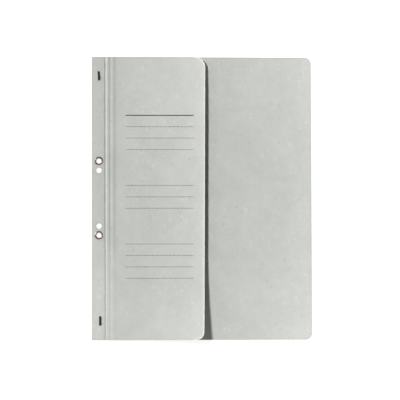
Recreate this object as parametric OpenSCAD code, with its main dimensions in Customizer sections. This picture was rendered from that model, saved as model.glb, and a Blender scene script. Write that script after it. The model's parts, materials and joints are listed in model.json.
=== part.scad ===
// Fastener folder for A4 sheets, lying closed.
// Two sheets of card are stapled and eyeletted along a filing edge at the left. The front sheet
// folds at three scores and ends in a half-width cover. A two-prong fastener is held under it.
// The folder lies in X (width) and Y (height), and Z is up from the surface that it lies on.

/* [Covers] */
// Width of the closed folder, from the filing edge to the free edge of the back cover
folder_w = 237; // [232:0.5:250]
// Height of the folder along its filing edge
folder_h = 305; // [300:0.5:325]
// Thickness of the card
card_t = 0.4; // [0.3:0.05:0.6]
// Width of the front sheet, from the filing edge to the free edge of the half cover
front_w = 122; // [110:0.5:135]
// Radius of the free corners of the back cover
back_corner_r = 7; // [2:0.5:15]
// Radius of the free corners of the front half cover
front_corner_r = 8; // [2:0.5:15]

/* [Set of the half cover] */
// Rise of the half cover from its last score to its free edge
free_edge_lift = 2; // [0:0.1:4]
// Extra rise of the lower free corner, where handling has curled the card
corner_curl = 7.6; // [0:0.1:10]
// Length of the free edge that the curl takes up
curl_reach = 80; // [40:1:120]
// How much lower the upper free corner lies
upper_dip = 1.4; // [0:0.1:1.8]
// Length of the free edge that the dip takes up
dip_reach = 60; // [40:1:120]

/* [Filing edge] */
// Width of the stapled filing edge, up to the first score
edge_w = 14.4; // [13:0.1:18]
// Distance of the hole centres from the left edge
hole_inset = 7.6; // [6.5:0.1:8]
// Distance between the two plain filing holes
hole_pitch = 60; // [50:0.5:64]
// Diameter of the plain filing holes
hole_d = 5.8; // [4.5:0.1:6.5]

/* [Scores] */
// Distance along the card between neighbouring scores
score_pitch = 5.5; // [4.5:0.1:7]
// Height that the card bulges to between two scores
ridge_h = 0.7; // [0.3:0.05:0.9]
// Depth of the score pressed into the outside of the back sheet
groove_depth = 0.12; // [0.05:0.01:0.2]
// Radius of the rule that presses the scores
groove_r = 0.5; // [0.3:0.05:0.8]

/* [Eyelets] */
// Distance between the two eyelets
eyelet_pitch = 80; // [75:0.5:90]
// Inside diameter of an eyelet
eyelet_bore_d = 5.4; // [4.5:0.1:6]
// Wall of the eyelet's barrel
eyelet_wall = 0.3; // [0.2:0.05:0.4]
// Diameter of the eyelet's rolled flange on the front
eyelet_flange_d = 9.2; // [8:0.1:10]
// Diameter of the eyelet's rolled-over end on the back
eyelet_clinch_d = 8.8; // [8:0.1:10]
// Height of the flange and of the rolled-over end
eyelet_dome = 0.6; // [0.5:0.05:0.8]

/* [Staples] */
// Length of a staple's crown
staple_l = 10; // [8:0.1:12]
// Width of the flat wire
staple_w = 2.4; // [1:0.1:2.8]
// Thickness of the flat wire
staple_t = 0.5; // [0.3:0.05:0.6]
// Distance of a staple's centre from the nearest end of the filing edge
staple_margin = 20.5; // [15:0.5:30]
// Opening between the two turned-in legs on the back
staple_leg_gap = 2.4; // [1:0.1:4]
// Lean of the upper staple out of the line of the filing edge, in degrees
staple_lean = 5; // [0:0.5:10]
// Drift of the lower staple away from the left edge
staple_drift = 1.3; // [0:0.1:2]

/* [Fastener] */
// Distance from the last score to the line of the prongs
prong_inset = 12.7; // [12:0.1:18]
// Distance between the two prongs
prong_pitch = 80; // [75:0.5:85]
// Width of a prong
prong_w = 5; // [4:0.1:5.5]
// Length of a prong where it lies folded on the bar
prong_l = 30; // [26:0.5:34]
// Thickness of the prongs' sheet metal
tongue_t = 0.25; // [0.2:0.05:0.4]
// Width of the card patch over the fastener's base
patch_w = 22; // [18:0.5:24]
// Thickness of the card patch
patch_t = 0.25; // [0.2:0.05:0.4]
// How far the card patch runs past each end of the bar
patch_margin = 3; // [1:0.5:6]
// Radius of the card patch's corners
patch_corner_r = 2.5; // [1:0.5:5]
// Length of the compressor bar
bar_l = 112; // [106:1:120]
// Width of the compressor bar
bar_w = 10; // [9:0.1:12]
// Thickness of the compressor bar's sheet metal
bar_t = 0.35; // [0.3:0.05:0.5]
// Height of the stiffening rails along the bar
rail_h = 0.35; // [0.2:0.05:0.4]
// Length of a slider along the bar
slider_l = 9; // [7:0.5:9.5]
// Thickness of a slider's sheet metal
slider_t = 0.25; // [0.2:0.05:0.35]
// Depth of the thumb dimple pressed into a slider
dimple_depth = 0.12; // [0.05:0.01:0.15]
// Width of the thumb dimple
dimple_d = 4; // [3:0.1:6]
// Width of the lips that hook a slider under the bar
slider_lip = 2; // [1:0.1:2.5]
// Distance of a locked slider's centre from its prong's fold
slider_set = 18; // [12:0.5:20]

/* [Clearances] */
// Room round a barrel or a wire in the card that it goes through
card_clear = 0.05; // [0.03:0.01:0.1]
// Room round a prong in the slots that it goes through
slot_clear = 0.3; // [0.2:0.05:0.5]
// Room between a slider and what it runs on
slide_clear = 0.1; // [0.05:0.01:0.15]
// Room between the closed half cover and the top of the fastener
cover_clear = 0.35; // [0.3:0.05:1]
// Room between the two halves of the back sheet at the first score
score_clear = 0.3; // [0.2:0.05:0.5]

/* [Hidden] */
$fn = 64;

card_colour = [0.765, 0.776, 0.753];
patch_colour = [0.72, 0.71, 0.66];
nickel_colour = [0.56, 0.53, 0.5];
wire_colour = [0.3, 0.28, 0.26];
steel_colour = [0.78, 0.79, 0.8];
upper = 1;
lower = -1;
past = 1;

// Levels of the filing edge, which stands on the ends of the eyelets and staples
left = -folder_w / 2;
right = folder_w / 2;
edge_z = max(eyelet_dome, staple_t);
front_z = edge_z + card_t;
edge_top = front_z + card_t;

// Levels of the fastener, from the inside of the back cover up. The bar's feet leave room for the
// lips of the sliders to run between the bar and the patch.
base_z = card_t;
patch_z = base_z + tongue_t;
patch_top = patch_z + patch_t;
bar_foot_h = slider_t + 2 * slide_clear;
bar_z = patch_top + bar_foot_h;
bar_top = bar_z + bar_t;
prong_z = bar_top + slide_clear;
fastener_top = max(prong_z + tongue_t, bar_top + rail_h) + slide_clear + slider_t;

// The scores: the two fold panels climb until the half cover clears the fastener
bead_share = 0.62;
room_share = 1.25;
score_bead_r = card_t * bead_share;
score_room_r = card_t * room_share;
score_x = left + edge_w;
score_z = front_z + card_t / 2;
cover_z = fastener_top + cover_clear + card_t / 2;
fold_slope = asin((cover_z - score_z) / (2 * score_pitch));
cover_x = score_x + 2 * score_pitch * cos(fold_slope);
cover_w = left + front_w - cover_x;
prong_x = cover_x + prong_inset;
bend_r = tongue_t;

// Lays a profile, drawn across the folder and up, along the height of the folder
module along_height(length)
{
    rotate([90, 0, 0])
        linear_extrude(height = length, center = true)
            children();
}

// Lays a profile, drawn along the height of the folder and up, across the folder
module across(width)
{
    rotate([90, 0, 90])
        linear_extrude(height = width, center = true)
            children();
}

// A rectangle with round corners that stands centred on its lower edge
module round_rectangle(w, h, r)
{
    translate([r - w / 2, 0])
        square([w - 2 * r, h]);
    translate([-w / 2, r])
        square([w, h - 2 * r]);
    for (x = [r - w / 2, w / 2 - r], y = [r, h - r])
        translate([x, y])
            circle(r);
}

// A flat strip bent into a loop that stays open along one side, seen edge on
module bent_strip(length, height, t, inner_r, gap)
{
    difference() {
        round_rectangle(length, height, inner_r + t);
        translate([0, t])
            round_rectangle(length - 2 * t, height - 2 * t, inner_r);
        translate([-gap / 2, height - t - past])
            square([gap, t + 2 * past]);
    }
}

// Sheet outline from one side to the other, with the two free corners rounded
module cover_outline(from, to, r)
{
    translate([from, -folder_h / 2])
        square([to - r - from, folder_h]);
    translate([from, r - folder_h / 2])
        square([to - from, folder_h - 2 * r]);
    for (side = [upper, lower])
        translate([to - r, side * (folder_h / 2 - r)])
            circle(r);
}

// Puts a staple, or the slits for it, in its place on the filing edge
module at_staple(side)
{
    translate([
        left + hole_inset + (side == lower ? staple_drift : 0),
        side * (folder_h / 2 - staple_margin),
        0
    ])
        rotate([0, 0, side == upper ? staple_lean : 0])
            children();
}

staple_bend_r = card_t / 2;
slit_l = staple_t + staple_bend_r + 2 * card_clear;

// Everything punched through one layer of the filing edge
module filing_holes()
{
    depth = edge_top + 2 * past;
    for (side = [upper, lower]) {
        translate([left + hole_inset, side * hole_pitch / 2, -past])
            cylinder(d = hole_d, h = depth);
        translate([left + hole_inset, side * eyelet_pitch / 2, -past])
            cylinder(d = eyelet_bore_d + 2 * (eyelet_wall + card_clear), h = depth);
        at_staple(side)
            for (leg = [upper, lower])
                translate([
                    0,
                    leg * (staple_l / 2 + card_clear - slit_l / 2),
                    depth / 2 - past
                ])
                    cube([staple_w + 2 * card_clear, slit_l, depth], center = true);
    }
}

// Back cover: runs down from the filing edge to the surface and lies flat from the last score on
module back_cover()
{
    start = score_x + score_clear;
    drop = edge_z / (cover_x - score_x);
    start_z = edge_z - drop * score_clear;
    color(card_colour)
        difference() {
            intersection() {
                along_height(folder_h)
                    polygon([
                        [start, start_z],
                        [cover_x, 0],
                        [right, 0],
                        [right, card_t],
                        [cover_x, card_t],
                        [start, start_z + card_t]
                    ]);
                linear_extrude(height = edge_top)
                    cover_outline(start, right, back_corner_r);
            }
            for (x = [(score_x + cover_x) / 2, cover_x])
                translate([x, 0, drop * (cover_x - x) + groove_depth - groove_r])
                    rotate([90, 0, 0])
                        cylinder(r = groove_r, h = folder_h + 2 * past, center = true);
        }
}

// Back layer of the filing edge, up to the first score
module back_filing_strip()
{
    color(card_colour)
        difference() {
            translate([left, -folder_h / 2, edge_z])
                cube([edge_w - score_clear, folder_h, card_t]);
            filing_holes();
        }
}

// Front layer of the filing edge, which ends in the bead of the first score
module front_filing_strip()
{
    color(card_colour)
        difference() {
            along_height(folder_h) {
                translate([left, front_z])
                    square([edge_w, card_t]);
                translate([score_x, score_z])
                    circle(score_bead_r);
            }
            filing_holes();
        }
}

// One panel between two scores: an arched strip with a bead on its far score
module fold_panel(index)
{
    arch_r = (score_pitch * score_pitch / 4 + ridge_h * ridge_h) / (2 * ridge_h);
    half_angle = asin(score_pitch / 2 / arch_r);
    reach = 2 * arch_r;
    first = [score_x + index * score_pitch * cos(fold_slope),
             score_z + index * score_pitch * sin(fold_slope)];
    color(card_colour)
        along_height(folder_h)
            translate(first)
                rotate(fold_slope)
                    difference() {
                        union() {
                            translate([score_pitch / 2, ridge_h - arch_r])
                                intersection() {
                                    difference() {
                                        circle(arch_r + card_t / 2);
                                        circle(arch_r - card_t / 2);
                                    }
                                    polygon([
                                        [0, 0],
                                        [reach * sin(half_angle), reach * cos(half_angle)],
                                        [-reach * sin(half_angle), reach * cos(half_angle)]
                                    ]);
                                }
                            translate([score_pitch, 0])
                                circle(score_bead_r);
                        }
                        circle(score_room_r);
                    }
}

module inner_fold_panel()
{
    fold_panel(0);
}

module outer_fold_panel()
{
    fold_panel(1);
}

// Rows of the half cover from its upper edge down, each with the width of the card there
arc_steps = 6;
row_steps = 16;
column_steps = 14;
function corner_row(angle) = [
    front_corner_r * (1 - cos(angle)),
    cover_w - front_corner_r * (1 - sin(angle))
];
upper_rows = [for (i = [0:arc_steps]) corner_row(90 * i / arc_steps)];
middle_rows = [
    for (i = [1:row_steps - 1])
        [front_corner_r + (folder_h - 2 * front_corner_r) * i / row_steps, cover_w]
];
lower_rows = [
    for (i = [arc_steps:-1:0])
        let (row = corner_row(90 * i / arc_steps))
            [folder_h - row[0], row[1]]
];
cover_rows = concat(upper_rows, middle_rows, lower_rows);

// How far the half cover stands above its last score, across the card and down from its upper edge.
// The card lies nearly level at first and bends up towards its free edge.
rise_power = 2.5;
function cover_lift(across, down) =
    let (
        share = across / cover_w,
        curl = max(0, 1 - (folder_h - down) / curl_reach),
        dip = max(0, 1 - down / dip_reach)
    )
    free_edge_lift * pow(share, rise_power)
        + share * share * (corner_curl * curl * curl - upper_dip * dip * dip);

// Front half cover: one sheet of card that rises to its free edge and curls up at its lower corner
module front_half_cover()
{
    rows = len(cover_rows);
    columns = column_steps + 1;
    points = [
        for (face = [0.5, -0.5], row = cover_rows, i = [0:column_steps])
            let (x = score_room_r + (row[1] - score_room_r) * i / column_steps)
                [cover_x + x, folder_h / 2 - row[0],
                 cover_z + cover_lift(x, row[0]) + face * card_t]
    ];
    function at(row, column) = row * columns + column;
    function under(row, column) = (rows + row) * columns + column;
    skin = [
        for (r = [0:rows - 2], c = [0:column_steps - 1])
            each [
                [at(r, c), at(r, c + 1), at(r + 1, c + 1)],
                [at(r, c), at(r + 1, c + 1), at(r + 1, c)],
                [under(r, c), under(r + 1, c + 1), under(r, c + 1)],
                [under(r, c), under(r + 1, c), under(r + 1, c + 1)]
            ]
    ];
    long_edges = [
        for (r = [0:rows - 2])
            each [
                [at(r, 0), at(r + 1, 0), under(r + 1, 0), under(r, 0)],
                [at(r + 1, column_steps), at(r, column_steps),
                 under(r, column_steps), under(r + 1, column_steps)]
            ]
    ];
    short_edges = [
        for (c = [0:column_steps - 1])
            each [
                [at(0, c + 1), at(0, c), under(0, c), under(0, c + 1)],
                [at(rows - 1, c), at(rows - 1, c + 1),
                 under(rows - 1, c + 1), under(rows - 1, c)]
            ]
    ];
    color(card_colour)
        polyhedron(points, concat(skin, long_edges, short_edges));
}

// Cross section of a rolled rim: a low dome between the bore and the rim's diameter
module rim_section(rim_d)
{
    inner = eyelet_bore_d / 2;
    half = (rim_d / 2 - inner) / 2;
    dome_r = (half * half + eyelet_dome * eyelet_dome) / (2 * eyelet_dome);
    intersection() {
        translate([inner + half, eyelet_dome - dome_r])
            circle(dome_r);
        translate([inner, 0])
            square([2 * half, eyelet_dome + past]);
    }
}

// Eyelet: barrel through both sheets, rolled flange in front and rolled-over end behind
module eyelet(side)
{
    color(nickel_colour)
        translate([left + hole_inset, side * eyelet_pitch / 2, 0])
            rotate_extrude() {
                translate([eyelet_bore_d / 2, edge_z])
                    square([eyelet_wall, edge_top - edge_z]);
                translate([0, edge_top])
                    rim_section(eyelet_flange_d);
                translate([0, edge_z])
                    mirror([0, 1])
                        rim_section(eyelet_clinch_d);
            }
}

module eyelet_upper()
{
    eyelet(upper);
}

module eyelet_lower()
{
    eyelet(lower);
}

// Staple: flat wire with its crown in front and its legs turned in behind
module staple(side)
{
    color(wire_colour)
        at_staple(side)
            translate([0, 0, edge_top + staple_t])
                mirror([0, 0, 1])
                    across(staple_w)
                        bent_strip(staple_l, 2 * (card_t + staple_t), staple_t,
                                   staple_bend_r, staple_leg_gap);
}

module staple_upper()
{
    staple(upper);
}

module staple_lower()
{
    staple(lower);
}

// Cuts a slot round each prong, with room for the inside of its bend
module prong_slots(z, depth)
{
    slot_l = tongue_t + bend_r + 2 * slot_clear;
    for (side = [upper, lower])
        translate([
            prong_x,
            side * (prong_pitch / 2 + tongue_t / 2 + slot_clear - slot_l / 2),
            z + depth / 2
        ])
            cube([prong_w + 2 * slot_clear, slot_l, depth + 2 * past], center = true);
}

// Anchor patch: card glued down on both sides of the fastener's base and raised over it
module anchor_patch()
{
    patch_l = bar_l + 2 * patch_margin;
    flat_w = prong_w + 2 * slot_clear;
    ramp_w = 2 * tongue_t;
    foot_w = flat_w + 2 * ramp_w;
    color(patch_colour)
        difference() {
            intersection() {
                along_height(patch_l)
                    translate([prong_x, base_z])
                        polygon([
                            [-patch_w / 2, 0],
                            [-foot_w / 2, 0],
                            [-flat_w / 2, tongue_t],
                            [flat_w / 2, tongue_t],
                            [foot_w / 2, 0],
                            [patch_w / 2, 0],
                            [patch_w / 2, patch_t],
                            [foot_w / 2, patch_t],
                            [flat_w / 2, tongue_t + patch_t],
                            [-flat_w / 2, tongue_t + patch_t],
                            [-foot_w / 2, patch_t],
                            [-patch_w / 2, patch_t]
                        ]);
                translate([prong_x, -patch_l / 2, 0])
                    linear_extrude(height = patch_top + past)
                        round_rectangle(patch_w, patch_l, patch_corner_r);
            }
            prong_slots(patch_z, patch_t);
        }
}

// Fastener tongue: a flat base with a prong at each end, up through the patch and the bar and
// folded inwards on the bar
module fastener_tongue()
{
    height = prong_z + tongue_t - base_z;
    tip_gap = prong_pitch + tongue_t - 2 * prong_l;
    tip_r = prong_w / 2;
    color(steel_colour)
        translate([prong_x, 0, base_z])
            difference() {
                across(prong_w)
                    bent_strip(prong_pitch + tongue_t, height, tongue_t, bend_r, tip_gap);
                for (side = [upper, lower])
                    translate([0, side * tip_gap / 2, height - tongue_t - slide_clear / 2])
                        linear_extrude(height = tongue_t + past)
                            difference() {
                                square(2 * tip_r + past, center = true);
                                translate([0, side * tip_r])
                                    circle(tip_r);
                                translate([-tip_r - past, side > 0 ? tip_r : -tip_r - past])
                                    square([2 * (tip_r + past), past]);
                            }
            }
}

// Compressor bar: round-ended strip with two slots, a rail along each side and a foot at each end
module compressor_bar()
{
    end_r = bar_w / 2;
    rail_x = end_r - 2 * rail_h;
    straight_l = bar_l - bar_w;
    color(steel_colour)
        difference() {
            translate([prong_x, 0, 0]) {
                translate([0, 0, bar_z])
                    linear_extrude(height = bar_t) {
                        square([bar_w, straight_l], center = true);
                        for (side = [upper, lower])
                            translate([0, side * straight_l / 2])
                                circle(end_r);
                    }
                for (x = [-rail_x, rail_x])
                    translate([x, 0, bar_top])
                        rotate([90, 0, 0])
                            intersection() {
                                cylinder(r = rail_h, h = straight_l, center = true);
                                translate([-past, -bar_t / 2, -straight_l / 2])
                                    cube([2 * past, rail_h + past, straight_l]);
                            }
                for (side = [upper, lower])
                    translate([0, side * straight_l / 2, bar_z])
                        rotate([0, 90, 0])
                            intersection() {
                                cylinder(r = bar_foot_h, h = bar_w - 2 * rail_h, center = true);
                                translate([-bar_t / 2, -past, -bar_w / 2])
                                    cube([bar_foot_h + past, 2 * past, bar_w]);
                            }
            }
            prong_slots(bar_z, bar_t + rail_h);
        }
}

// Slider: sheet metal folded round the bar and the prong on it, open between its two lips, with a
// thumb dimple pressed into its top
module slider(side)
{
    inner_w = bar_w + 2 * slide_clear;
    inner_z = bar_z - slide_clear;
    inner_h = fastener_top - slider_t - inner_z;
    outer_w = inner_w + 2 * slider_t;
    dimple_r = (dimple_d * dimple_d / 4 + dimple_depth * dimple_depth) / (2 * dimple_depth);
    color(steel_colour)
        translate([prong_x, side * (prong_pitch / 2 - slider_set), inner_z - slider_t])
            difference() {
                along_height(slider_l)
                    difference() {
                        round_rectangle(outer_w, inner_h + 2 * slider_t, 2 * slider_t);
                        translate([0, slider_t])
                            round_rectangle(inner_w, inner_h, slide_clear);
                        translate([slider_lip - inner_w / 2, -past])
                            square([inner_w - 2 * slider_lip, slider_t + 2 * past]);
                    }
                translate([0, 0, inner_h + 2 * slider_t - dimple_depth + dimple_r])
                    sphere(dimple_r);
            }
}

module slider_upper()
{
    slider(upper);
}

module slider_lower()
{
    slider(lower);
}

back_cover();
back_filing_strip();
front_filing_strip();
inner_fold_panel();
outer_fold_panel();
front_half_cover();
eyelet_upper();
eyelet_lower();
staple_upper();
staple_lower();
anchor_patch();
fastener_tongue();
compressor_bar();
slider_upper();
slider_lower();
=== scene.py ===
import json
import math

import bpy
import numpy as np
from mathutils import Matrix, Vector
from mathutils.geometry import delaunay_2d_cdt


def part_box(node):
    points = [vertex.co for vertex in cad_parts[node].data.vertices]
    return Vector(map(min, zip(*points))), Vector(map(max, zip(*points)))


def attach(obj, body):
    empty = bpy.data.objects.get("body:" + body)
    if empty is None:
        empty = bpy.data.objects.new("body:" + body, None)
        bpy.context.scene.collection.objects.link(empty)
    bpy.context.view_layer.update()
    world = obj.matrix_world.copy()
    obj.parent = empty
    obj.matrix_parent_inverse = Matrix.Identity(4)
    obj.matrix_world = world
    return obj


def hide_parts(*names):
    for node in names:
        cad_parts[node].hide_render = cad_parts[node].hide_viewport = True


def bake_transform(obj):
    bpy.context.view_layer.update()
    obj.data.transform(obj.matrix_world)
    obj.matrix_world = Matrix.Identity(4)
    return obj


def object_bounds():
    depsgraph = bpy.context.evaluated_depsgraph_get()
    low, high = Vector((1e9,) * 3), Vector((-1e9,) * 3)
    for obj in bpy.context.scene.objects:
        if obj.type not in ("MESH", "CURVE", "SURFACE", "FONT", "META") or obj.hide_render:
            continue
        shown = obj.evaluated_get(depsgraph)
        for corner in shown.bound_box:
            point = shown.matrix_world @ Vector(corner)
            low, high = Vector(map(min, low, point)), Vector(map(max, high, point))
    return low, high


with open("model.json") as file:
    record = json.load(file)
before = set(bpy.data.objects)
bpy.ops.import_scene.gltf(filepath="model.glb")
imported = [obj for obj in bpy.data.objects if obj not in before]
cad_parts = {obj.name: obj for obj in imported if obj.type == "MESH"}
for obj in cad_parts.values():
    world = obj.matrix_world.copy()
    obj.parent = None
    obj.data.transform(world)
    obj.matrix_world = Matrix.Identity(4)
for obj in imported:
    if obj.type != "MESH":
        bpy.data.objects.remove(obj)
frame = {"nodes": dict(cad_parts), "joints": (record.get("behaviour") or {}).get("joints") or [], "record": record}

cad_low, cad_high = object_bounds()

# Back sheet. One piece of grey recycled card, die-cut with two rounded free corners and punched at
# its left edge. It lies flat from the last score on and climbs to the filing edge at the left,
# where eyelets and staples go through it.
MM = 0.001
joints = {joint["name"]: joint for joint in frame["joints"]}
mounts = {mount["name"]: mount for mount in frame["record"]["mounts"]}
first_score = Vector(joints["first_score"]["pos_m"])
second_score = Vector(joints["second_score"]["pos_m"])
cover_score = Vector(joints["cover_score"]["pos_m"])
strip_low, strip_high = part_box("back_filing_strip")
free_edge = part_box("front_half_cover")[1].x
LEFT, RIGHT = cad_low.x, cad_high.x
LOWER, UPPER = cad_low.y, cad_high.y
CARD_T = strip_high.z - strip_low.z
BACK_CORNERS = (7.0 * MM, 7.0 * MM)
SQUARE = (0.0, 0.0)
EYELET_WALL = 0.35 * MM


def add(tree, kind, *inputs, **settings):
    """A node with its settings, and its inputs linked or set in order. None leaves an input alone."""
    node = tree.nodes.new(kind)
    for name, value in settings.items():
        setattr(node, name, value)
    for socket, value in zip(node.inputs, inputs):
        if isinstance(value, bpy.types.NodeSocket):
            tree.links.new(value, socket)
        elif value is not None:
            socket.default_value = value
    return node


def maths(tree, operation, *inputs):
    return add(tree, "ShaderNodeMath", *inputs, operation=operation).outputs[0]


def ramp(tree, value, low, high, to_low, to_high):
    """A value carried smoothly from one range to another, and held at the ends."""
    node = add(tree, "ShaderNodeMapRange", value, low, high, to_low, to_high)
    node.interpolation_type = "SMOOTHSTEP"
    return node.outputs[0]


def noise(tree, place, scale, detail, roughness=0.5):
    node = add(tree, "ShaderNodeTexNoise", place, None, scale, detail, roughness)
    return node.outputs["Fac"]


CARD_GREY = (0.55, 0.566, 0.532, 1.0)
CARD_MOTTLE = 0.029
WARMER, COOLER = (1.012, 0.996, 0.996), (0.988, 1.004, 1.004)
HUE_SCALE, BROAD_SCALE, CLOUD_SCALE, GRAIN_SCALE = 60.0, 26.0, 120.0, 1500.0
GRAIN_TONE = 0.035
GRAIN_LOW, GRAIN_HIGH = 0.3, 0.7
NOISE_LOW, NOISE_HIGH = 0.28, 0.72
DRIFT_SCALE = 700.0
DRIFT = (1.2 * MM, 2.2 * MM, 0.0)
THREAD_SCALE, THREAD_PATCH_SCALE = 330.0, 260.0
THREAD_CORE, THREAD_RIM = 0.006, 0.024
THREAD_PATCH_LOW, THREAD_PATCH_HIGH = 0.57, 0.66
THREAD_TONE, DARK_TONE, PALE_TONE = 1.13, 0.9, 1.065
DARK_FLECKS = {"scale": 215.0, "share": 0.17, "radius": 0.22}
PALE_FLECKS = {"scale": 170.0, "share": 0.34, "radius": 0.25}
FLECK_CORE, FLECK_RIM = 0.6, 1.2
CARD_ROUGH_LOW, CARD_ROUGH_HIGH = 0.82, 0.94
CARD_GLOSS = 0.3
CARD_BUMP, CARD_RELIEF = 0.35, 0.06 * MM
THREAD_RELIEF = 0.5
# Tint of the per-point value: below zero it pales the card where light is painted on, above zero it darkens it for
# soiling, darker cut edges and painted shade.
PALER_DEPTH = (0.135, 0.12, 0.126)
DARKER_DEPTH = (0.124, 0.124, 0.126)


def flecks(tree, place, scale, share, radius):
    """Scattered irregular flecks, 1 inside and 0 outside, in a share of the cells of a given scale."""
    cells = add(tree, "ShaderNodeTexVoronoi", place, None, scale)
    pick = add(tree, "ShaderNodeSeparateColor", cells.outputs["Color"])
    chosen = maths(tree, "LESS_THAN", pick.outputs[0], share)
    size = maths(tree, "MULTIPLY_ADD", pick.outputs[1], radius, 0.5 * radius)
    away = maths(tree, "DIVIDE", cells.outputs["Distance"], size)
    inside = ramp(tree, away, FLECK_CORE, FLECK_RIM, 1.0, 0.0)
    return maths(tree, "MULTIPLY", inside, chosen)


def recycled_card(name, colour, mottle):
    """Pressed recycled card: faint clouds, loose threads and flecks, made darker or paler by a value at each point
    that holds soiling, darker cut edges, painted shade in the scores and painted light.
    """
    material = bpy.data.materials.new(name)
    material.use_nodes = True
    tree = material.node_tree
    shader = tree.nodes["Principled BSDF"]
    place = add(tree, "ShaderNodeTexCoord").outputs["Object"]
    drift = add(tree, "ShaderNodeTexNoise", place, None, DRIFT_SCALE, 2.0).outputs["Color"]
    drift = add(tree, "ShaderNodeVectorMath", drift, (0.5, 0.5, 0.5), operation="SUBTRACT").outputs[0]
    warped = add(tree, "ShaderNodeVectorMath", drift, DRIFT, place, operation="MULTIPLY_ADD").outputs[0]
    broad = noise(tree, place, BROAD_SCALE, 2.0)
    clouds = noise(tree, place, CLOUD_SCALE, 5.0, 0.62)
    grain = noise(tree, place, GRAIN_SCALE, 3.0, 0.6)
    line = maths(tree, "ABSOLUTE", maths(tree, "SUBTRACT", noise(tree, warped, THREAD_SCALE, 1.0), 0.5))
    cluster = noise(tree, place, THREAD_PATCH_SCALE, 1.0)
    patch = ramp(tree, cluster, THREAD_PATCH_LOW, THREAD_PATCH_HIGH, 0.0, 1.0)
    thread = maths(tree, "MULTIPLY", ramp(tree, line, THREAD_CORE, THREAD_RIM, 1.0, 0.0), patch)
    dark = flecks(tree, warped, **DARK_FLECKS)
    pale = flecks(tree, warped, **PALE_FLECKS)
    # Per-point value: soiling, darker cut edges, painted shade in the scores and painted light.
    soil_and_painted_light = add(tree, "ShaderNodeAttribute", attribute_name="soil_and_painted_light").outputs["Fac"]
    soil_and_light_tint = (1.0, 1.0, 1.0)
    for part, depth in (("MINIMUM", PALER_DEPTH), ("MAXIMUM", DARKER_DEPTH)):
        amount = maths(tree, part, soil_and_painted_light, 0.0)
        darker = tuple(-share for share in depth)
        mixed = add(tree, "ShaderNodeVectorMath", amount, darker, soil_and_light_tint, operation="MULTIPLY_ADD")
        soil_and_light_tint = mixed.outputs[0]
    tone = ramp(tree, grain, NOISE_LOW, NOISE_HIGH, 1.0 - GRAIN_TONE, 1.0 + GRAIN_TONE)
    for value in (broad, clouds):
        cloudy = ramp(tree, value, NOISE_LOW, NOISE_HIGH, 1.0 - mottle, 1.0 + mottle)
        tone = maths(tree, "MULTIPLY", tone, cloudy)
    for value, full in ((thread, THREAD_TONE), (dark, DARK_TONE), (pale, PALE_TONE)):
        tone = maths(tree, "MULTIPLY", tone, ramp(tree, value, 0.0, 1.0, 1.0, full))
    hue = add(tree, "ShaderNodeMix", noise(tree, place, HUE_SCALE, 2.0), data_type="RGBA")
    for socket, shift in (("A", WARMER), ("B", COOLER)):
        hue.inputs[socket].default_value = (*(c * s for c, s in zip(colour, shift)), 1.0)
    tinted_colour = add(tree, "ShaderNodeVectorMath", hue.outputs["Result"], soil_and_light_tint, operation="MULTIPLY")
    tinted = add(tree, "ShaderNodeVectorMath", tinted_colour.outputs[0], operation="SCALE")
    tree.links.new(tone, tinted.inputs["Scale"])
    tree.links.new(tinted.outputs[0], shader.inputs["Base Color"])
    rough = ramp(tree, grain, GRAIN_LOW, GRAIN_HIGH, CARD_ROUGH_LOW, CARD_ROUGH_HIGH)
    tree.links.new(rough, shader.inputs["Roughness"])
    shader.inputs["Specular IOR Level"].default_value = CARD_GLOSS
    height = maths(tree, "MULTIPLY_ADD", thread, THREAD_RELIEF, grain)
    bump = add(tree, "ShaderNodeBump", CARD_BUMP, CARD_RELIEF, None, height)
    tree.links.new(bump.outputs[0], shader.inputs["Normal"])
    return material


card = recycled_card("recycled_card", CARD_GREY, CARD_MOTTLE)

# Cut edges are darker over a short width; the half cover's free edge has a painted highlight, a paler rim,
# instead.
EDGE_DARK_W = 0.9 * MM
EDGE_HIGHLIGHT = 3.0
HIGHLIGHT_FALL = 1.5
EDGE_ROWS = (0.0, 0.5 * MM, 1.4 * MM)
EDGE_MARGIN = 0.2 * MM
EDGE_ROOM = 0.3
CORNER_POINTS, HOLE_POINTS = 14, 49
CORNER_ROOM = 1.05
SAME_PLACE, WELD = 1e-7, 1e-8
CUT_ANGLE = math.radians(50)


def arc(centre, radius, start, end, steps):
    """Points on an arc, with its angles in degrees."""
    angles = np.radians(np.linspace(start, end, steps))
    return [(centre[0] + radius * math.cos(a), centre[1] + radius * math.sin(a)) for a in angles]


def lines_between(start, end, step):
    """Places of mesh lines from one cut edge to the other, closer together beside both."""
    count = max(2, round((end - start) / step))
    inner = np.linspace(start, end, count + 1)[1:-1]
    near = EDGE_ROWS[-1] + EDGE_ROOM * step
    inner = [p for p in inner if p - start > near and end - p > near]
    return [start + d for d in EDGE_ROWS] + inner + [end - d for d in reversed(EDGE_ROWS)]


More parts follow.
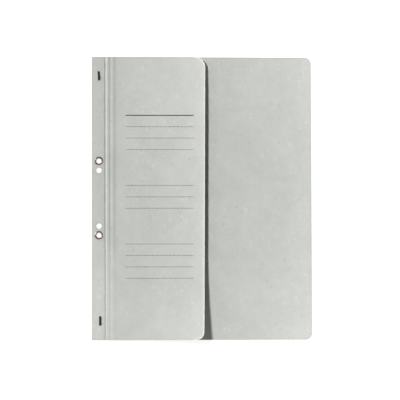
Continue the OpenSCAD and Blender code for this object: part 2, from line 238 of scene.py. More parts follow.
def sheet_mesh(columns, rows, corners, holes, cut_left, cut_right, highlit_right=False):
    """One layer of card lying flat, as triangles between its outline and its round holes. Each point
    holds how much darker it is near a cut edge, or, below zero, how much paler an edge with a painted
    highlight is. The lower and upper corners at the right are rounded where they have a radius."""
    x0, x1, y0, y1 = columns[0], columns[-1], rows[0], rows[-1]
    low_r, high_r = corners
    right_side = [(x1, y) for y in rows]
    if low_r:
        straight_low, straight_high = y0 + low_r * CORNER_ROOM, y1 - high_r * CORNER_ROOM
        right_side = arc((x1 - low_r, y0 + low_r), low_r, -90, 0, CORNER_POINTS)
        right_side += [(x1, y) for y in rows if straight_low < y < straight_high]
        right_side += arc((x1 - high_r, y1 - high_r), high_r, 0, 90, CORNER_POINTS)
    outline = [(x, y0) for x in columns if x < x1 - low_r - SAME_PLACE]
    outline += right_side
    outline += [(x, y1) for x in reversed(columns) if x < x1 - high_r - SAME_PLACE]
    outline += [(x0, y) for y in reversed(rows[1:-1])]
    loops = [outline] + [arc(place, radius, 0, 360, HOLE_POINTS)[:-1] for place, radius in holes]

    def edge_distance(x, y):
        near = min(y - y0, y1 - y)
        if cut_left:
            near = min(near, x - x0)
        if cut_right:
            near = min(near, x1 - x)
        for radius, centre_y, beyond in ((low_r, y0 + low_r, y < y0 + low_r),
                                         (high_r, y1 - high_r, y > y1 - high_r)):
            if beyond and x > x1 - radius:
                near = min(near, radius - math.hypot(x - x1 + radius, y - centre_y))
        for place, radius in holes:
            near = min(near, math.hypot(x - place[0], y - place[1]) - radius)
        return near

    points, edges = [], []
    for loop in loops:
        start = len(points)
        points += [Vector(p) for p in loop]
        edges += [(start + i, start + (i + 1) % len(loop)) for i in range(len(loop))]
    for x in columns[1:-1]:
        points += [Vector((x, y)) for y in rows[1:-1] if edge_distance(x, y) > EDGE_MARGIN]
    flat, _, faces, *_ = delaunay_2d_cdt(points, edges, [], 1, WELD)

    def in_hole(face):
        middle = sum((flat[i] for i in face), Vector((0.0, 0.0))) / len(face)
        return any((middle - Vector(place)).length < radius for place, radius in holes)

    faces = [face for face in faces if not in_hole(face)]
    soil_and_painted_light = [math.exp(-max(0.0, edge_distance(p.x, p.y)) / EDGE_DARK_W) for p in flat]
    # Painted highlight: near the free edge, right of where its corners start to round, the rim is painted paler
    # instead of darker.
    if highlit_right:
        painted_light = x1 - max(corners)
        pale = [-EDGE_HIGHLIGHT * value ** HIGHLIGHT_FALL for value in soil_and_painted_light]
        soil_and_painted_light = [pale[i] if p.x > painted_light else soil_and_painted_light[i] for i, p in enumerate(flat)]
    return flat, faces, soil_and_painted_light


def card_piece(name, flat_mesh, place, tone_and_light_rule, material):
    """A piece of card from a flat layer, carried to its place by one rule and given its soiling, painted light and
    painted shade by another.
    """
    flat, faces, soil_and_painted_light = flat_mesh
    soil_and_painted_light = [value + tone_and_light_rule(p.x, p.y) for value, p in zip(soil_and_painted_light, flat)]
    mesh = bpy.data.meshes.new(name)
    mesh.from_pydata([place(p.x, p.y) for p in flat], [], [tuple(face) for face in faces])
    mesh.attributes.new("soil_and_painted_light", "FLOAT", "POINT").data.foreach_set("value", soil_and_painted_light)
    piece = bpy.data.objects.new(name, mesh)
    bpy.context.scene.collection.objects.link(piece)
    mesh.materials.append(material)
    return piece


def thicken(piece, thickness):
    layer = piece.modifiers.new("thickness", "SOLIDIFY")
    layer.thickness = thickness
    layer.offset = 0.0
    layer.use_even_offset = True


def settle(piece):
    """Turns what the modifiers make into the piece's own plain mesh, smooth but for its cut edges."""
    view = bpy.context.evaluated_depsgraph_get()
    mesh = bpy.data.meshes.new_from_object(
        piece.evaluated_get(view), preserve_all_data_layers=True, depsgraph=view)
    piece.modifiers.clear()
    piece.data = mesh
    mesh.shade_smooth()
    mesh.set_sharp_from_angle(angle=CUT_ANGLE)
    return piece


def hole_places(names, extra):
    """Places and radii of the holes of the record's bores, each made wider by the same amount."""
    bores = [mounts[name] for name in names]
    return [(tuple(bore["pos_m"][:2]), bore["dims"]["r_mm"] * MM + extra) for bore in bores]


punched = hole_places(("filing_hole_upper", "filing_hole_lower"), 0.0)
barrels = hole_places(("eyelet_upper_bore", "eyelet_lower_bore"), EYELET_WALL)
strip_middle = (strip_low.z + strip_high.z) / 2
SCORE_BEAD = 0.1 * MM
SCORE_BEAD_W = 0.45 * MM
BACK_WAVE = 0.12 * MM
WAVES_ACROSS, WAVES_UP = (31.0, 1.3), (23.0, 0.4)
# A little soiling over the whole back, and painted light: its open part paler towards its outer edge.
BACK_SOIL = 0.2
OUTER_LIGHT = 1.05
PRESS_DEPTH = 0.31 * MM
PRESS_LEFT, PRESS_RIGHT = 1.3 * MM, 2.2 * MM
FLATTER = 0.5
# The lower part of the folder: there the scores are pressed flatter and the filing strip is painted paler, painted
# light.
LOWER_PART_START, LOWER_PART_REACH = -15.0 * MM, 70.0 * MM


def smooth(value, start, end):
    """0 up to a start and 1 from an end on, carried over smoothly between them."""
    share = min(1.0, max(0.0, (value - start) / (end - start)))
    return share * share * (3.0 - 2.0 * share)


def pressing(y):
    """How sharply the scores are pressed at a height: in full above, and flatter below."""
    return 1.0 - FLATTER * smooth(y, LOWER_PART_START, LOWER_PART_START - LOWER_PART_REACH)


def pressed(x, y):
    """How far the rule that scored the first fold has pressed the two sheets down beside it."""
    reach = PRESS_LEFT if x < first_score.x else PRESS_RIGHT
    return PRESS_DEPTH * pressing(y) * smooth(abs(x - first_score.x), reach, 0.0)


def back_place(x, y):
    """The back sheet's run: level filing edge, down over two scores, then flat with a slight wave."""
    share = min(1.0, max(0.0, (x - first_score.x) / (cover_score.x - first_score.x)))
    z = strip_middle + (CARD_T / 2 - strip_middle) * share
    for score in (second_score, cover_score):
        z += SCORE_BEAD * math.exp(-((x - score.x) / SCORE_BEAD_W) ** 2)
    open_share = max(0.0, (x - cover_score.x) / (RIGHT - cover_score.x))
    across = math.sin(WAVES_ACROSS[0] * x + WAVES_ACROSS[1])
    wave = 0.5 + 0.5 * across * math.sin(WAVES_UP[0] * y + WAVES_UP[1])
    return (x, y, z + BACK_WAVE * open_share * wave - pressed(x, y))


def back_soil_and_light(x, y):
    """The back is a little soiled all over, and painted light makes its open part paler towards its outer edge."""
    share = max(0.0, (x - free_edge) / (RIGHT - free_edge))
    return BACK_SOIL - OUTER_LIGHT * share ** 3


SCORE_LINES = (-1.3, -1.0, -0.6, -0.3, 0.0, 0.3, 0.6, 1.0, 1.6, 2.2)
BEFORE_SCORES, AFTER_SCORES = 1.5 * MM, 2.4 * MM
STRIP_STEP, SHEET_STEP = 1.6 * MM, 3.2 * MM
EDGE_COUNT = len(EDGE_ROWS)
back_columns = [s.x + d * MM for s in (first_score, second_score, cover_score) for d in SCORE_LINES]
back_columns += lines_between(LEFT, first_score.x - BEFORE_SCORES, STRIP_STEP)[:-EDGE_COUNT]
back_columns += lines_between(cover_score.x + AFTER_SCORES, RIGHT, SHEET_STEP)[EDGE_COUNT:]
back_columns.sort()
back_rows = lines_between(LOWER, UPPER, SHEET_STEP)
back_sheet = card_piece(
    "back_sheet", sheet_mesh(back_columns, back_rows, BACK_CORNERS, punched + barrels, True, True),
    back_place, back_soil_and_light, card)
thicken(back_sheet, CARD_T)
settle(back_sheet)
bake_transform(back_sheet)
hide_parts("back_cover", "back_filing_strip")

# Front filing strip. The left edge of the front sheet, of the same card, punched together with the
# back sheet and held to it by the eyelets and staples. It ends in the first score's groove.
front_level = first_score.z
# Painted light: the filing strip paler in its lower part. The strip is also greyer towards the score.
PAINTED_LOWER_LIGHT = 0.75
STRIP_GREYING = 0.7
EVEN_SHARE = 0.45
GROOVE_LINES = 8


def front_strip_place(x, y):
    return (x, y, front_level - pressed(x, y))


def strip_tone_and_light(x, y):
    """Painted light makes the lower half of the edge paler, and the strip is greyer towards the score."""
    share = (x - LEFT) / (first_score.x - LEFT)
    painted_light = PAINTED_LOWER_LIGHT * smooth(y, LOWER_PART_START, LOWER_PART_START - LOWER_PART_REACH)
    return STRIP_GREYING * pressing(y) * (share - EVEN_SHARE) - painted_light


groove_start = first_score.x - PRESS_LEFT
strip_columns = [x for x in lines_between(LEFT, first_score.x, STRIP_STEP) if x < groove_start]
strip_columns += list(np.linspace(groove_start, first_score.x, GROOVE_LINES))
front_strip = card_piece(
    "front_strip_card", sheet_mesh(strip_columns, back_rows, SQUARE, punched + barrels, True, True),
    front_strip_place, strip_tone_and_light, card)
thicken(front_strip, CARD_T)
settle(front_strip)
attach(front_strip, "filing_edge")
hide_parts("front_filing_strip")

# Fold panels. Two narrow strips of the front sheet between its three scores. Scoring presses each
# of them into a low ridge, and the card bends at the scores when the cover opens, so the pieces meet
# in the middle of each panel, with the scores inside them.
RIDGE_H = (0.9 * MM, 0.2 * MM)
RIDGE_CREST = (0.36, 0.64)
# Painted shade in and beside the scores, less where they are pressed flatter.
SCORE_SHADE = (0.5, 0.9, 1.8)
SCORE_SHADE_W = (1.25 * MM, 1.35 * MM, 2.0 * MM)
SHADE_BEFORE = (0.0, -0.2 * MM, 1.6 * MM)
RIDGE_STEPS = 22
SCORE_GAP = 0.3 * MM
panel_run = second_score - first_score
panel_w = math.hypot(panel_run.x, panel_run.z)
panel_slope = math.atan2(panel_run.z, panel_run.x)


def ridge_share(share, crest):
    """A ridge's height across its panel: up from one score to the crest, then down to the next."""
    if share < crest:
        return smooth(share, 0.0, crest)
    return math.cos(math.pi / 2 * (share - crest) / (1.0 - crest))


def fold_shade(along, y):
    """Painted shade in the first two scores, and most on the panel before the last one."""
    marks = 0.0
    for index in range(3):
        away = along - index * panel_w + SHADE_BEFORE[index]
        marks += SCORE_SHADE[index] * math.exp(-(away / SCORE_SHADE_W[index]) ** 2)
    return marks * pressing(y)


def front_place(along, y):
    """The front sheet's run from the first score on, by its distance along the panels from there."""
    if along >= 2 * panel_w:
        return (cover_score.x + along - 2 * panel_w, y, cover_score.z)
    ridge = min(1, int(along / panel_w))
    up = RIDGE_H[ridge] * pressing(y) * ridge_share(along / panel_w - ridge, RIDGE_CREST[ridge])
    return (first_score.x + along * math.cos(panel_slope) - up * math.sin(panel_slope), y,
            first_score.z + along * math.sin(panel_slope) + up * math.cos(panel_slope))


def ridge_lines(start, end):
    count = max(2, round(RIDGE_STEPS * (end - start) / panel_w))
    return list(np.linspace(start, end, count + 1))


inner_columns = ridge_lines(SCORE_GAP, panel_w / 2)
inner_fold = card_piece(
    "inner_fold_card", sheet_mesh(inner_columns, back_rows, SQUARE, [], True, False),
    front_place, fold_shade, card)
thicken(inner_fold, CARD_T)
settle(inner_fold)
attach(inner_fold, "inner_fold")
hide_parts("inner_fold_panel")

middle_columns = ridge_lines(panel_w / 2, 1.5 * panel_w)
middle_fold = card_piece(
    "middle_fold_card", sheet_mesh(middle_columns, back_rows, SQUARE, [], False, False),
    front_place, fold_shade, card)
thicken(middle_fold, CARD_T)
settle(middle_fold)
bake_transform(middle_fold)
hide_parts("outer_fold_panel")

# Half cover. The free part of the front sheet, die-cut with two rounded corners. The scores hold it
# up, so it rises to its free edge, and handling has curled its lower corner. One rule gives its set,
# and the ruling printed on it follows the same rule.
FRONT_CORNERS = (8.0 * MM, 10.8 * MM)
FREE_EDGE_LIFT = 2.2 * MM
CORNER_CURL = 7.4 * MM
CURL_REACH = 98.0 * MM
UPPER_DIP = 1.4 * MM
DIP_REACH = 60.0 * MM
RISE_POWER = 4.0
DRAW_IN = 0.7
LEAST_SHARE = 0.05
# Painted light on the half cover: paler towards its free edge and in its upper part; its curled corner darker.
FREE_EDGE_LIGHT = 0.6
CORNER_DARKENING = 0.35
UPPER_LIGHT = 0.3
UPPER_LIGHT_START, UPPER_LIGHT_END = 20.0 * MM, 110.0 * MM
UPPER_LIGHT_SHARE = 0.125
SKEW_BELOW, SKEW_ABOVE = -1.27 * MM, 0.3 * MM
EDGE_BURR = 0.22 * MM
BURR_W = 1.6 * MM
COVER_WAVE = 0.12 * MM
WAVE_SCALE = 14.0
COVER_SET = {
    "Score X": cover_score.x, "Free edge X": free_edge, "Lower edge Y": LOWER, "Upper edge Y": UPPER,
    "Free edge lift": FREE_EDGE_LIFT, "Corner curl": CORNER_CURL, "Curl reach": CURL_REACH,
    "Upper dip": UPPER_DIP, "Dip reach": DIP_REACH, "Skew below": SKEW_BELOW, "Skew above": SKEW_ABOVE,
    "Edge burr": EDGE_BURR, "Burr width": BURR_W, "Wave": COVER_WAVE,
}


def cover_set_tree():
    """Lifts whatever lies on the level of the last score to the set of the half cover."""
    tree = bpy.data.node_groups.new("half_cover_set", "GeometryNodeTree")
    tree.interface.new_socket("Geometry", in_out="INPUT", socket_type="NodeSocketGeometry")
    for name, value in COVER_SET.items():
        socket = tree.interface.new_socket(name, in_out="INPUT", socket_type="NodeSocketFloat")
        socket.default_value = value
    tree.interface.new_socket("Geometry", in_out="OUTPUT", socket_type="NodeSocketGeometry")
    given = tree.nodes.new("NodeGroupInput").outputs
    place = add(tree, "GeometryNodeInputPosition").outputs[0]
    x, y, _ = add(tree, "ShaderNodeSeparateXYZ", place).outputs
    width = maths(tree, "SUBTRACT", given["Free edge X"], given["Score X"])
    across = maths(tree, "SUBTRACT", x, given["Score X"])
    share = maths(tree, "MAXIMUM", maths(tree, "DIVIDE", across, width), 0.0)
    above = maths(tree, "DIVIDE", maths(tree, "SUBTRACT", y, given["Lower edge Y"]), given["Curl reach"])
    curl = maths(tree, "MAXIMUM", maths(tree, "SUBTRACT", 1.0, above), 0.0)
    bend = maths(tree, "POWER", maths(tree, "MULTIPLY", share, curl), 2.0)
    below = maths(tree, "DIVIDE", maths(tree, "SUBTRACT", given["Upper edge Y"], y), given["Dip reach"])
    low = maths(tree, "MAXIMUM", maths(tree, "SUBTRACT", 1.0, below), 0.0)
    sink = maths(tree, "POWER", maths(tree, "MULTIPLY", share, low), 2.0)
    past = maths(tree, "SUBTRACT", given["Free edge X"], x)
    inside = maths(tree, "DIVIDE", past, given["Burr width"])
    lip = maths(tree, "MAXIMUM", maths(tree, "SUBTRACT", 1.0, inside), 0.0)
    clouds = add(tree, "ShaderNodeTexNoise", place, None, WAVE_SCALE, 0.0).outputs["Fac"]
    swell = maths(tree, "SUBTRACT", clouds, 0.5)
    wave = maths(tree, "MULTIPLY", swell, maths(tree, "MINIMUM", share, 1.0))
    lift = maths(tree, "MULTIPLY", given["Free edge lift"], maths(tree, "POWER", share, RISE_POWER))
    lift = maths(tree, "MULTIPLY_ADD", given["Corner curl"], bend, lift)
    lift = maths(tree, "SUBTRACT", lift, maths(tree, "MULTIPLY", given["Upper dip"], sink))
    lift = maths(tree, "MULTIPLY_ADD", given["Edge burr"], maths(tree, "POWER", lip, 2.0), lift)
    lift = maths(tree, "MULTIPLY_ADD", given["Wave"], wave, lift)
    pull = maths(tree, "MULTIPLY", maths(tree, "MULTIPLY", lift, lift), DRAW_IN)
    run = maths(tree, "MULTIPLY", width, maths(tree, "MAXIMUM", share, LEAST_SHARE))
    drawn = maths(tree, "DIVIDE", pull, run)
    height = maths(tree, "SUBTRACT", given["Upper edge Y"], given["Lower edge Y"])
    upness = maths(tree, "DIVIDE", maths(tree, "SUBTRACT", y, given["Lower edge Y"]), height)
    turn = maths(tree, "SUBTRACT", given["Skew above"], given["Skew below"])
    skew = maths(tree, "MULTIPLY_ADD", upness, turn, given["Skew below"])
    aside = maths(tree, "SUBTRACT", maths(tree, "MULTIPLY", skew, share), drawn)
    offset = add(tree, "ShaderNodeCombineXYZ", aside, 0.0, lift).outputs[0]
    raised = add(tree, "GeometryNodeSetPosition", given["Geometry"], True, None, offset).outputs[0]
    add(tree, "NodeGroupOutput", raised)
    return tree


def half_cover_tree(material):
    """The half cover's own tree: its flat layer lifted to its set."""
    tree = bpy.data.node_groups.new("half_cover", "GeometryNodeTree")
    tree.interface.new_socket("Geometry", in_out="INPUT", socket_type="NodeSocketGeometry")
    for name, value in COVER_SET.items():
        socket = tree.interface.new_socket(name, in_out="INPUT", socket_type="NodeSocketFloat")
        socket.default_value = value
    tree.interface.new_socket("Geometry", in_out="OUTPUT", socket_type="NodeSocketGeometry")
    given = tree.nodes.new("NodeGroupInput").outputs
    raised = add(tree, "GeometryNodeGroup")
    raised.node_tree = cover_set
    for name in ("Geometry", *COVER_SET):
        tree.links.new(given[name], raised.inputs[name])
    real = add(tree, "GeometryNodeRealizeInstances", raised.outputs[0])
    finished = add(tree, "GeometryNodeSetMaterial", real.outputs[0], None, material)
    add(tree, "NodeGroupOutput", finished.outputs[0])
    return tree


cover_set = cover_set_tree()


def give_inputs(modifier, values):
    """Sets a modifier's inputs, found by the identifiers of their sockets."""
    for item in modifier.node_group.interface.items_tree:
        if item.in_out == "INPUT" and item.name in values:
            modifier[item.identifier] = values[item.name]


def cover_shade_and_light(along, y):
    """Painted light makes the half cover paler towards its free edge and in its upper part, its curled
    corner is darker, and the painted shade of the scores runs into it."""
    share = max(0.0, (along - 2 * panel_w) / (free_edge - cover_score.x))
    flat_share = min(1.0, (y - LOWER) / CURL_REACH)
    upper_light = UPPER_LIGHT * smooth(y, UPPER_LIGHT_START, UPPER_LIGHT_END) * min(1.0, share / UPPER_LIGHT_SHARE)
    edge_light_and_corner = FREE_EDGE_LIGHT * flat_share * share ** 2 - CORNER_DARKENING * (1.0 - flat_share) * share ** 4
    return fold_shade(along, y) - edge_light_and_corner - upper_light


COVER_STEP = 2.6 * MM
FINE_PAST_SCORE, COARSE_PAST_SCORE = 1.2 * MM, 1.6 * MM
half_end = 2 * panel_w + free_edge - cover_score.x
half_columns = ridge_lines(1.5 * panel_w, 2 * panel_w + FINE_PAST_SCORE)
half_columns += lines_between(2 * panel_w + COARSE_PAST_SCORE, half_end, COVER_STEP)[EDGE_COUNT:]
half_cover = card_piece(
    "half_cover_card", sheet_mesh(half_columns, back_rows, FRONT_CORNERS, [], False, True, True),
    front_place, cover_shade_and_light, card)
lifted = half_cover.modifiers.new("set", "NODES")
lifted.node_group = half_cover_tree(card)
give_inputs(lifted, COVER_SET)
thicken(half_cover, CARD_T)
settle(half_cover)
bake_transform(half_cover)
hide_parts("front_half_cover")

# Ruling. Printed in dark grey ink on the half cover: one plain rule, and three blocks of dotted
# writing lines below it. The ink stands a hair above the card.
RULE_LEFT, RULE_L = LEFT + 36.4 * MM, 73.2 * MM
RULE_W = 1.0 * MM
RULE_Y = UPPER - 63.28 * MM
DOT_PITCH, DOT_D = 1.42 * MM, 0.82 * MM
INK_T = 0.03 * MM
LINE_PITCH = 12.3 * MM
BLOCKS = ((75.57 * MM, 3), (138.95 * MM, 3), (202.0 * MM, 4))
DOT_SIDES, RULE_POINTS = 10, 40
INK_GREY = (0.03, 0.032, 0.03)
INK_SCALE = 2600.0
INK_LOW, INK_HIGH = 0.35, 0.7
INK_FULL, INK_THIN = 0.7, 1.6
INK_ROUGH, INK_GLOSS = 0.7, 0.2
RULING = {
    "Line length": RULE_L, "Rule width": RULE_W, "Dot pitch": DOT_PITCH, "Dot diameter": DOT_D,
    "Line pitch": LINE_PITCH, "Ink thickness": INK_T,
}


def printing_ink():
    """Offset ink that covers the card's grain unevenly."""
    material = bpy.data.materials.new("printing_ink")
    material.use_nodes = True
    tree = material.node_tree
    shader = tree.nodes["Principled BSDF"]
    place = add(tree, "ShaderNodeTexCoord").outputs["Object"]
    cover = ramp(tree, noise(tree, place, INK_SCALE, 2.0), INK_LOW, INK_HIGH, INK_FULL, INK_THIN)
    tinted = add(tree, "ShaderNodeVectorMath", INK_GREY, operation="SCALE")
    tree.links.new(cover, tinted.inputs["Scale"])
    tree.links.new(tinted.outputs[0], shader.inputs["Base Color"])
    shader.inputs["Roughness"].default_value = INK_ROUGH
    shader.inputs["Specular IOR Level"].default_value = INK_GLOSS
    return material


def ruling_tree(material):
    """One plain rule and blocks of dotted lines, all lifted to the set of the half cover."""
    tree = bpy.data.node_groups.new("ruling", "GeometryNodeTree")
    for name, value in RULING.items():
        socket = tree.interface.new_socket(name, in_out="INPUT", socket_type="NodeSocketFloat")
        socket.default_value = value
    tree.interface.new_socket("Geometry", in_out="OUTPUT", socket_type="NodeSocketGeometry")
    given = tree.nodes.new("NodeGroupInput").outputs
    level = cover_score.z + CARD_T / 2
    lines = tree.nodes.new("GeometryNodeJoinGeometry")
    dots = maths(tree, "ADD", maths(tree, "DIVIDE", given["Line length"], given["Dot pitch"]), 1.0)
    for first, count in BLOCKS:
        for index in range(count):
            drop = maths(tree, "MULTIPLY", given["Line pitch"], float(index))
            height = maths(tree, "SUBTRACT", UPPER - first, drop)
            start = add(tree, "ShaderNodeCombineXYZ", RULE_LEFT + DOT_D / 2, height, level).outputs[0]
            step = add(tree, "ShaderNodeCombineXYZ", given["Dot pitch"], 0.0, 0.0).outputs[0]
            line = add(tree, "GeometryNodeMeshLine", None, None, start, step)
            tree.links.new(dots, line.inputs["Count"])
            tree.links.new(line.outputs[0], lines.inputs[0])
    radius = maths(tree, "MULTIPLY", given["Dot diameter"], 0.5)
    dot = add(tree, "GeometryNodeMeshCylinder", DOT_SIDES, 1, 1, radius, given["Ink thickness"])
    placed = add(tree, "GeometryNodeInstanceOnPoints", lines.outputs[0], None, dot.outputs["Mesh"])
    dotted = add(tree, "GeometryNodeRealizeInstances", placed.outputs[0])
    sides = [given[name] for name in ("Line length", "Rule width", "Ink thickness")]
    size = add(tree, "ShaderNodeCombineXYZ", *sides)
    bar = add(tree, "GeometryNodeMeshCube", size.outputs[0], RULE_POINTS, 2, 2)
    middle = (RULE_LEFT + RULE_L / 2, RULE_Y, level)
    rule = add(tree, "GeometryNodeTransform", bar.outputs["Mesh"])
    rule.inputs["Translation"].default_value = middle
    everything = tree.nodes.new("GeometryNodeJoinGeometry")
    tree.links.new(dotted.outputs[0], everything.inputs[0])
    tree.links.new(rule.outputs[0], everything.inputs[0])
    raised = add(tree, "GeometryNodeGroup")
    raised.node_tree = cover_set
    tree.links.new(everything.outputs[0], raised.inputs["Geometry"])
    real = add(tree, "GeometryNodeRealizeInstances", raised.outputs[0])
    inked = add(tree, "GeometryNodeSetMaterial", real.outputs[0], None, material)
    add(tree, "NodeGroupOutput", inked.outputs[0])
    return tree


ruling = bpy.data.objects.new("ruling", bpy.data.meshes.new("ruling"))
bpy.context.scene.collection.objects.link(ruling)
printed = ruling.modifiers.new("print", "NODES")
printed.node_group = ruling_tree(printing_ink())
give_inputs(printed, RULING)
settle(ruling)
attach(ruling, "front_cover")

# Eyelets. Two nickel-plated eyelets, set through both sheets of the filing edge and rolled over
# behind. Handling has dulled the plating.
NICKEL = (0.33, 0.265, 0.245)
TARNISH = (0.1, 0.066, 0.056)
EVEN = (1.0, 1.0, 1.0)
DULL_LOW, DULL_HIGH = 0.42, 0.68
SCRATCH_ROUGH = 0.06
METAL_BUMP, METAL_RELIEF = 0.15, 0.02 * MM


def worn_metal(name, colour, dull_colour, roughness, patch_scale, patch_rough, grain_scale, stretch):
    """Plated metal, dulled in patches and finely scratched. Stretch draws the scratches out."""
    material = bpy.data.materials.new(name)
    material.use_nodes = True
    tree = material.node_tree
    shader = tree.nodes["Principled BSDF"]
    place = add(tree, "ShaderNodeTexCoord").outputs["Object"]
    dull = ramp(tree, noise(tree, place, patch_scale, 4.0, 0.6), DULL_LOW, DULL_HIGH, 0.0, 1.0)
    drawn = add(tree, "ShaderNodeVectorMath", place, stretch, operation="MULTIPLY").outputs[0]
    scratch = noise(tree, drawn, grain_scale, 2.0, 0.6)
    blend = add(tree, "ShaderNodeMix", dull, data_type="RGBA")
    blend.inputs["A"].default_value = (*colour, 1.0)
    blend.inputs["B"].default_value = (*dull_colour, 1.0)
    tree.links.new(blend.outputs["Result"], shader.inputs["Base Color"])
    shader.inputs["Metallic"].default_value = 1.0
    smoother, rougher = roughness - SCRATCH_ROUGH, roughness + SCRATCH_ROUGH
    fine = ramp(tree, scratch, GRAIN_LOW, GRAIN_HIGH, smoother, rougher)
    rough = maths(tree, "MULTIPLY_ADD", dull, patch_rough, fine)
    tree.links.new(rough, shader.inputs["Roughness"])
    bump = add(tree, "ShaderNodeBump", METAL_BUMP, METAL_RELIEF, None, scratch)
    tree.links.new(bump.outputs[0], shader.inputs["Normal"])
    return material


def finish_node(node, material):
    """Gives a solid that shows as it is its finish."""
    frame["nodes"][node].material_slots[0].material = material


nickel = worn_metal("dull_nickel", NICKEL, TARNISH, roughness=0.26, patch_scale=420.0,
                    patch_rough=0.18, grain_scale=2400.0, stretch=EVEN)
for node in ("eyelet_upper", "eyelet_lower"):
    finish_node(node, nickel)

# Staples. Two staples of flat dark wire near the ends of the filing edge, driven through both sheets
# from the front and clinched behind. They hold the sheets together where the eyelets don't.
WIRE = (0.06, 0.053, 0.048)
WIRE_DULL = (0.04, 0.032, 0.027)
ALONG_WIRE = (1.0, 0.1, 1.0)
wire = worn_metal("dark_wire", WIRE, WIRE_DULL, roughness=0.42, patch_scale=420.0,
                  patch_rough=0.18, grain_scale=1800.0, stretch=ALONG_WIRE)
for node in ("staple_upper", "staple_lower"):
    finish_node(node, wire)

# Anchor patch. A narrow patch of buff card with rounded corners, glued inside the back cover over the
# base of the fastener, which it holds down. The prongs come up through it.
BUFF = (0.47, 0.455, 0.39, 1.0)
BUFF_MOTTLE = 0.05
finish_node("anchor_patch", recycled_card("buff_card", BUFF, BUFF_MOTTLE))

# Fastener. Zinc-plated sheet steel: a tongue whose two prongs fold down on a slotted bar, and two
# sliders that run along the bar and hold the prongs down.
ZINC = (0.55, 0.56, 0.57)
ZINC_DULL = (0.47, 0.475, 0.48)
ALONG_BAR = (1.0, 0.04, 1.0)
zinc = worn_metal("zinc_plate", ZINC, ZINC_DULL, roughness=0.36, patch_scale=110.0,
                  patch_rough=0.06, grain_scale=2200.0, stretch=ALONG_BAR)
for node in ("fastener_tongue", "compressor_bar", "slider_upper", "slider_lower"):
    finish_node(node, zinc)

# Studio. A white floor, a key and a raking lamp from the left that throw the half cover's shadow,
# small fills at the lower edge and right corners, and a surround that is darker to the upper left.
scene = bpy.context.scene
scene.view_settings.view_transform = "Standard"
FLOOR_SIZE = 6.0
FLOOR_DROP = 0.15 * MM
FLOOR_GREY = (0.4, 0.4, 0.4, 1.0)
WHITE = (1.0, 1.0, 1.0, 1.0)
FLOOR_GLOW = 0.86
KEY_FROM = Vector((-0.85, 0.5, 1.0))
KEY_STRENGTH = 3.56
KEY_ANGLE = math.radians(11.0)
RAKE_FROM = Vector((-3.2, 0.9, 1.0))
RAKE_STRENGTH = 0.8
RAKE_ANGLE = math.radians(20.0)
LOWER_POWER = 0.06
CORNER_POWER = 0.085
AMBIENT = 0.02
BRIGHT_SIDE = (0.8, -0.6, 0.0)
DARK_SIDE_LEVEL = 0.12
DARK_END, BRIGHT_END = -0.4, 0.6


def bright_rays(tree):
    """1 for the rays that see a white background: from the camera, off metal and through clear parts."""
    rays = add(tree, "ShaderNodeLightPath").outputs
    mirrored = maths(tree, "MAXIMUM", rays["Is Glossy Ray"], rays["Is Transmission Ray"])
    return maths(tree, "MAXIMUM", rays["Is Camera Ray"], mirrored)


def floor_paper():
    """Grey to the lamps, so that it takes a shadow, and white to the eye."""
    material = bpy.data.materials.new("floor_paper")
    material.use_nodes = True
    tree = material.node_tree
    tree.nodes.clear()
    paint = add(tree, "ShaderNodeBsdfDiffuse", FLOOR_GREY)
    glow_level = maths(tree, "MULTIPLY", bright_rays(tree), FLOOR_GLOW)
    glow = add(tree, "ShaderNodeEmission", WHITE, glow_level)
    both = add(tree, "ShaderNodeAddShader", paint.outputs[0], glow.outputs[0])
    add(tree, "ShaderNodeOutputMaterial", both.outputs[0])
    return material


floor_mesh = bpy.data.meshes.new("floor")
half = FLOOR_SIZE / 2
floor_corners = [(-half, -half), (half, -half), (half, half), (-half, half)]
floor_mesh.from_pydata([(x, y, -FLOOR_DROP) for x, y in floor_corners], [], [(0, 1, 2, 3)])
floor = bpy.data.objects.new("floor", floor_mesh)
scene.collection.objects.link(floor)
floor_mesh.materials.append(floor_paper())

surround = bpy.data.worlds.new("surround")
scene.world = surround
surround.use_nodes = True
sky = surround.node_tree
sky.nodes.clear()
around = add(sky, "ShaderNodeTexCoord").outputs["Generated"]
facing = add(sky, "ShaderNodeVectorMath", around, BRIGHT_SIDE, operation="DOT_PRODUCT")
sky_rays = add(sky, "ShaderNodeLightPath").outputs
mirror_level = ramp(sky, facing.outputs["Value"], DARK_END, BRIGHT_END, DARK_SIDE_LEVEL, 1.0)
unseen = add(sky, "ShaderNodeMix", sky_rays["Is Glossy Ray"])
unseen.inputs["A"].default_value = AMBIENT
sky.links.new(mirror_level, unseen.inputs["B"])
seen = maths(sky, "MAXIMUM", sky_rays["Is Camera Ray"], sky_rays["Is Transmission Ray"])
sky_level = add(sky, "ShaderNodeMix", seen)
sky.links.new(unseen.outputs["Result"], sky_level.inputs["A"])
sky_level.inputs["B"].default_value = 1.0
sky_light = add(sky, "ShaderNodeBackground", WHITE, sky_level.outputs["Result"])
add(sky, "ShaderNodeOutputWorld", sky_light.outputs[0])


def far_lamp(name, direction, strength, angle):
    """A distant lamp that shines from a direction."""
    data = bpy.data.lights.new(name, "SUN")
    data.energy = strength
    data.angle = angle
    lamp = bpy.data.objects.new(name, data)
    lamp.rotation_mode = "QUATERNION"
    lamp.rotation_quaternion = direction.to_track_quat("Z", "Y")
    scene.collection.objects.link(lamp)


far_lamp("key", KEY_FROM, KEY_STRENGTH, KEY_ANGLE)
far_lamp("rake", RAKE_FROM, RAKE_STRENGTH, RAKE_ANGLE)


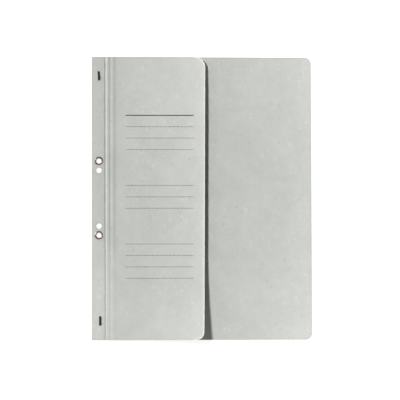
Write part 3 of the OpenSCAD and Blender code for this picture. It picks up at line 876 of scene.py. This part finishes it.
def strip_fill(name, place, aim, across, along, power):
    """A narrow lamp beside the folder, turned down to it."""
    data = bpy.data.lights.new(name, "AREA")
    data.shape = "RECTANGLE"
    data.size, data.size_y = across, along
    data.energy = power
    lamp = bpy.data.objects.new(name, data)
    lamp.location = place
    away = (Vector(place) - Vector(aim)).normalized()
    side = Vector((0.0, 1.0, 0.0)).cross(away).normalized()
    lamp.rotation_mode = "QUATERNION"
    lamp.rotation_quaternion = Matrix((side, away.cross(side), away)).transposed().to_quaternion()
    lamp.visible_camera = False
    scene.collection.objects.link(lamp)


strip_fill("lower_fill", place=(0.03, -0.3, 0.09), aim=(0.0, -0.14, 0.0),
           across=0.34, along=0.04, power=LOWER_POWER)
for corner, side in (("upper", 1.0), ("lower", -1.0)):
    strip_fill(corner + "_corner_fill", place=(0.16, 0.24 * side, 0.16), aim=(0.08, 0.12 * side, 0.0),
               across=0.06, along=0.06, power=CORNER_POWER)

# Camera. Far above the folder on a long lens, a touch to the lower left, so that the near sides
# come out longer as they do in the photograph.
PHOTO_PX = 400
MM_PER_PX = 1.07774
CAMERA_AIM = Vector((-1.94, -1.93, 0.0)) * MM
CAMERA_DISTANCE = 3.0
CAMERA_LEAN = Vector((-0.0555, -0.057, 1.0))
CAMERA_ROLL = math.radians(-0.148)
SENSOR = 36.0
camera_data = bpy.data.cameras.new("camera")
camera_data.sensor_width = SENSOR
camera_data.lens = SENSOR * CAMERA_DISTANCE / (PHOTO_PX * MM_PER_PX * MM)
camera = bpy.data.objects.new("camera", camera_data)
scene.collection.objects.link(camera)
back_axis = CAMERA_LEAN.normalized()
level_axis = Vector((0.0, 1.0, 0.0)).cross(back_axis).normalized()
right_axis = Matrix.Rotation(CAMERA_ROLL, 3, back_axis) @ level_axis
up_axis = back_axis.cross(right_axis)
camera.location = CAMERA_AIM + back_axis * CAMERA_DISTANCE
camera.rotation_mode = "QUATERNION"
camera.rotation_quaternion = Matrix((right_axis, up_axis, back_axis)).transposed().to_quaternion()
scene.camera = camera
